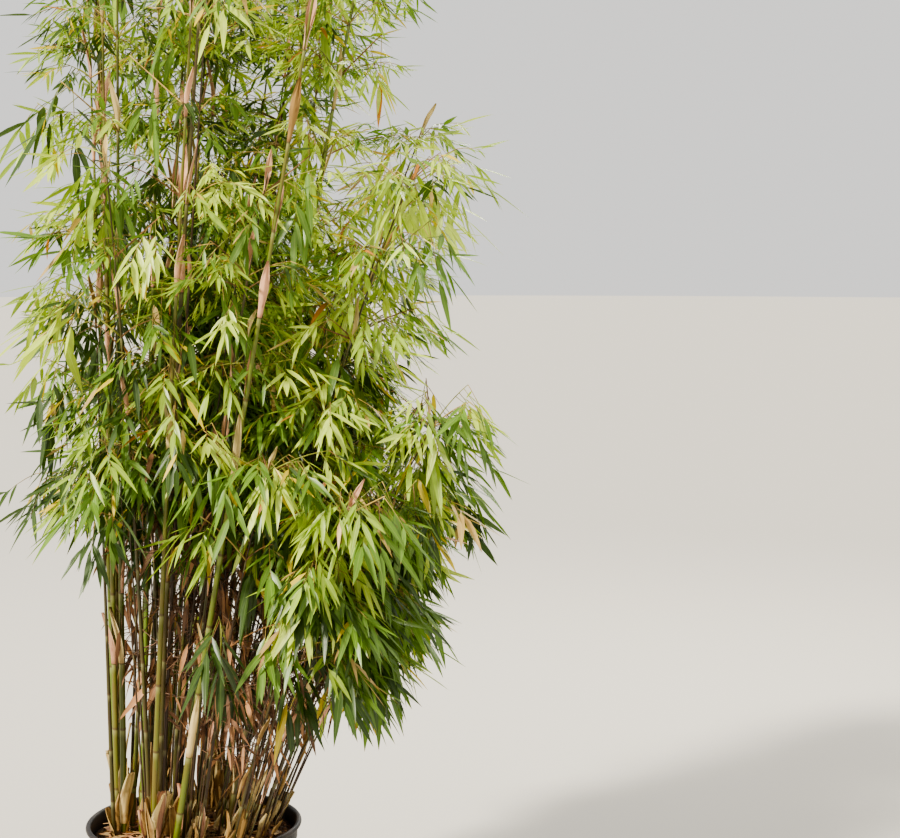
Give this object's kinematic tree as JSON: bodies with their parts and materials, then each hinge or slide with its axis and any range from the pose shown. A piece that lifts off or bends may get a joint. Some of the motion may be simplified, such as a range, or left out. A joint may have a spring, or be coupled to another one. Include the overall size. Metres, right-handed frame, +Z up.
{
  "type": "potted bamboo",
  "caption": "Clumping bamboo in a round black nursery pot: upright green canes with papery sheaths that fan out to one side into drooping sprays of narrow leaves.",
  "frame": {"origin": "middle of the pot's flat underside", "axes": "+Z up along the plant, +X towards the side that the clump leans to, -Y towards the viewer"},
  "size_m": [1.117, 1.1424, 2.213],
  "materials": {
    "container": "black moulded plastic, dusty and scuffed",
    "soil": "dark bark and peat mix with dry litter on top",
    "tall_canes": "smooth olive-green cane with pale node rings",
    "middle_canes": "smooth yellow-green cane with tan sheaths",
    "low_canes": "thin brownish cane with papery sheaths",
    "foliage": "thin satin leaves, bright green with some yellow and dry tan ones"
  },
  "bodies": {
    "root": {"pot": "container", "root_ball": "soil", "cane_tall_1": "tall_canes", "top_tall_1": "foliage", "cane_tall_2": "tall_canes", "top_tall_2": "foliage", "cane_tall_3": "tall_canes", "top_tall_3": "foliage", "cane_tall_4": "tall_canes", "top_tall_4": "foliage", "cane_tall_5": "tall_canes", "top_tall_5": "foliage", "cane_tall_6": "tall_canes", "top_tall_6": "foliage", "cane_tall_7": "tall_canes", "top_tall_7": "foliage", "cane_tall_8": "tall_canes", "top_tall_8": "foliage", "cane_tall_9": "tall_canes", "top_tall_9": "foliage", "cane_middle_1": "middle_canes", "top_middle_1": "foliage", "cane_middle_2": "middle_canes", "top_middle_2": "foliage", "cane_middle_3": "middle_canes", "top_middle_3": "foliage", "cane_middle_4": "middle_canes", "top_middle_4": "foliage", "cane_middle_5": "middle_canes", "top_middle_5": "foliage", "cane_middle_6": "middle_canes", "top_middle_6": "foliage", "cane_middle_7": "middle_canes", "top_middle_7": "foliage", "cane_low_1": "low_canes", "top_low_1": "foliage", "cane_low_2": "low_canes", "top_low_2": "foliage", "cane_low_3": "low_canes", "top_low_3": "foliage", "cane_low_4": "low_canes", "top_low_4": "foliage", "cane_low_5": "low_canes", "top_low_5": "foliage", "cane_low_6": "low_canes", "top_low_6": "foliage"}
  },
  "joints": []
}
